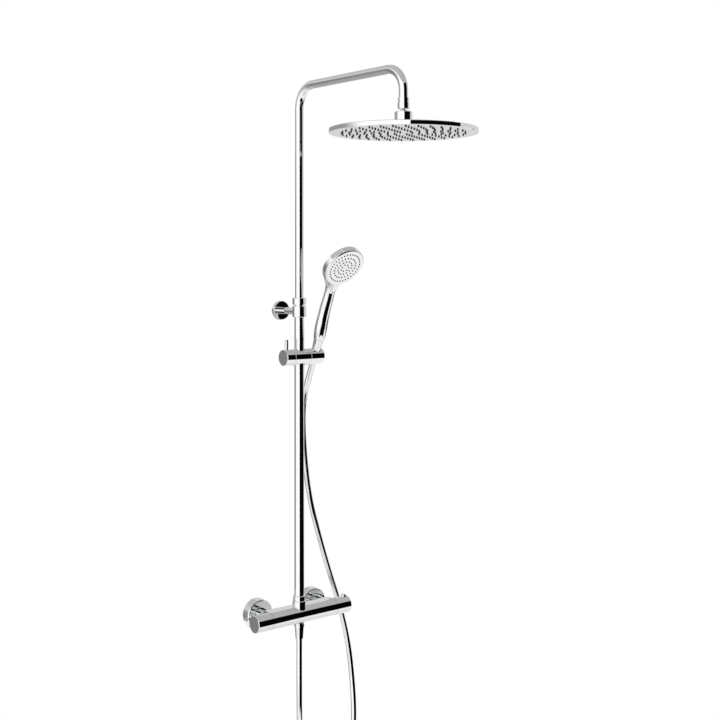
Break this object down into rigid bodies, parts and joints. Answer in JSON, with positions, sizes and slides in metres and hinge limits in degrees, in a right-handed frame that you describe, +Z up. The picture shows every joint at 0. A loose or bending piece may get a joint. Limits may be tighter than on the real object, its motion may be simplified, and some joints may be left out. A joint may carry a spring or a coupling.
{
  "type": "rainfall shower column",
  "caption": "Wall-mounted rainfall shower column: thermostatic bar mixer, telescopic riser with bent arm and round rain head, sliding holder, hand shower and metal hose.",
  "frame": {"origin": "midway between the two wall inlets, in the plane of the wall", "axes": "+X along the mixer bar to the right as seen from the room, +Y into the wall, +Z up"},
  "size_m": [0.35, 0.604, 1.5826],
  "materials": {
    "brass": "machined brass",
    "chromed_plastic": "bright chrome plate on moulded plastic",
    "face_metal": "fine satin steel face",
    "hose_metal": "spiral-wound chromed metal hose",
    "nozzle_rubber": "soft dark silicone",
    "nylon": "natural white nylon",
    "polished_chrome": "bright polished chrome plate",
    "seal_rubber": "black seal rubber",
    "spray_plastic": "glossy pale grey moulded plastic",
    "steel": "plain steel"
  },
  "bodies": {
    "root": {"mixer_body": "polished_chrome", "thermostatic_cartridge": "brass", "flow_cartridge": "brass", "rosette_left": "polished_chrome", "rosette_right": "polished_chrome", "union_left": "polished_chrome", "union_right": "polished_chrome", "union_nut_left": "polished_chrome", "union_nut_right": "polished_chrome", "inlet_gaskets": "seal_rubber", "check_valves": "nylon", "outlet_nipple": "polished_chrome", "outlet_washer": "seal_rubber", "riser_base_nut": "polished_chrome", "riser_base_sleeve": "polished_chrome", "riser_o_ring": "seal_rubber", "lower_riser_tube": "polished_chrome", "bracket_rosette": "polished_chrome", "bracket_rod": "polished_chrome", "bracket_collar": "polished_chrome", "bracket_wall_plate": "steel", "bracket_wall_screw": "steel", "hose_bottom_nut": "polished_chrome", "hose_lower": "hose_metal"},
    "flow_handle": {"flow_handle": "polished_chrome", "flow_handle_cap": "polished_chrome", "flow_spindle": "brass"},
    "temperature_handle": {"temperature_handle": "polished_chrome", "temperature_handle_cap": "polished_chrome", "temperature_spindle": "brass", "button_spring": "steel"},
    "safety_button": {"safety_button": "polished_chrome"},
    "telescope_lock_ring": {"telescope_lock_ring": "polished_chrome"},
    "telescope_guide": {"telescope_guide": "nylon", "telescope_o_rings": "seal_rubber"},
    "upper_column": {"upper_tube": "polished_chrome", "arm_end_nut": "polished_chrome", "ball_socket": "polished_chrome"},
    "ball_seat": {"ball_seat": "nylon"},
    "rain_head": {"joint_ball": "steel", "head_hub": "polished_chrome", "head_shell": "polished_chrome", "head_face_plate": "face_metal", "head_nozzle_mat": "nozzle_rubber"},
    "holder_liner": {"holder_liner": "nylon", "hose_middle": "hose_metal"},
    "holder": {"holder_body": "polished_chrome", "cradle_pivot": "brass", "hose_upper": "hose_metal"},
    "clamp_knob": {"clamp_knob": "polished_chrome", "clamp_stud": "brass", "clamp_lever": "polished_chrome"},
    "cradle": {"cradle": "polished_chrome", "cradle_liner": "nylon"},
    "hand_shower": {"handset_body": "chromed_plastic", "handset_spray_plate": "spray_plastic", "handset_nozzle_mat": "nozzle_rubber", "hose_cone_nut": "polished_chrome", "hose_top_ferrule": "polished_chrome"}
  },
  "joints": [
    {"name": "flow_turn", "type": "hinge", "parent": "root", "child": "flow_handle", "pos_m": [-0.11, -0.074, 0], "axis": [1, 0, 0], "range_deg": [-90, 90]},
    {"name": "temperature_turn", "type": "hinge", "parent": "root", "child": "temperature_handle", "pos_m": [0.11, -0.074, 0], "axis": [1, 0, 0], "range_deg": [-170, 90]},
    {"name": "button_press", "type": "slide", "parent": "temperature_handle", "child": "safety_button", "axis": [0, 0, -1], "range_m": [0, 0.0025], "stiffness_N_per_m": 800, "springref_m": -0.0005, "deforming": ["button_spring"]},
    {"name": "lock_ring_turn", "type": "hinge", "parent": "root", "child": "telescope_lock_ring", "pos_m": [-0.007, -0.074, 0.698], "axis": [0, 0, 1], "range_deg": [0, 90]},
    {"name": "telescope_slide", "type": "slide", "parent": "root", "child": "telescope_guide", "axis": [0, 0, 1], "range_m": [-0.2, 0.2]},
    {"name": "column_swivel", "type": "hinge", "parent": "telescope_guide", "child": "upper_column", "pos_m": [-0.007, -0.074, 0.4], "axis": [0, 0, 1], "range_deg": [-45, 45]},
    {"name": "seat_tilt", "type": "hinge", "parent": "upper_column", "child": "ball_seat", "pos_m": [-0.007, -0.424, 1.096], "axis": [1, 0, 0], "range_deg": [-10, 10]},
    {"name": "head_tilt", "type": "hinge", "parent": "ball_seat", "child": "rain_head", "pos_m": [-0.007, -0.424, 1.096], "axis": [0, 1, 0], "range_deg": [-10, 10]},
    {"name": "holder_slide", "type": "slide", "parent": "root", "child": "holder_liner", "axis": [0, 0, 1], "range_m": [-0.2, 0.06], "deforming": ["hose_lower"]},
    {"name": "holder_swivel", "type": "hinge", "parent": "holder_liner", "child": "holder", "pos_m": [-0.007, -0.074, 0.574], "axis": [0, 0, 1], "range_deg": [-40, 40], "deforming": ["hose_middle"]},
    {"name": "clamp_turn", "type": "hinge", "parent": "holder", "child": "clamp_knob", "pos_m": [-0.04, -0.074, 0.574], "axis": [1, 0, 0], "range_deg": [0, 90]},
    {"name": "cradle_tilt", "type": "hinge", "parent": "holder", "child": "cradle", "pos_m": [0.02, -0.074, 0.574], "axis": [1, 0, 0], "range_deg": [-20, 15], "deforming": ["hose_upper"]},
    {"name": "handset_lift", "type": "slide", "parent": "cradle", "child": "hand_shower", "axis": [0, -0.3859, 0.9225], "range_m": [0, 0.055]}
  ]
}
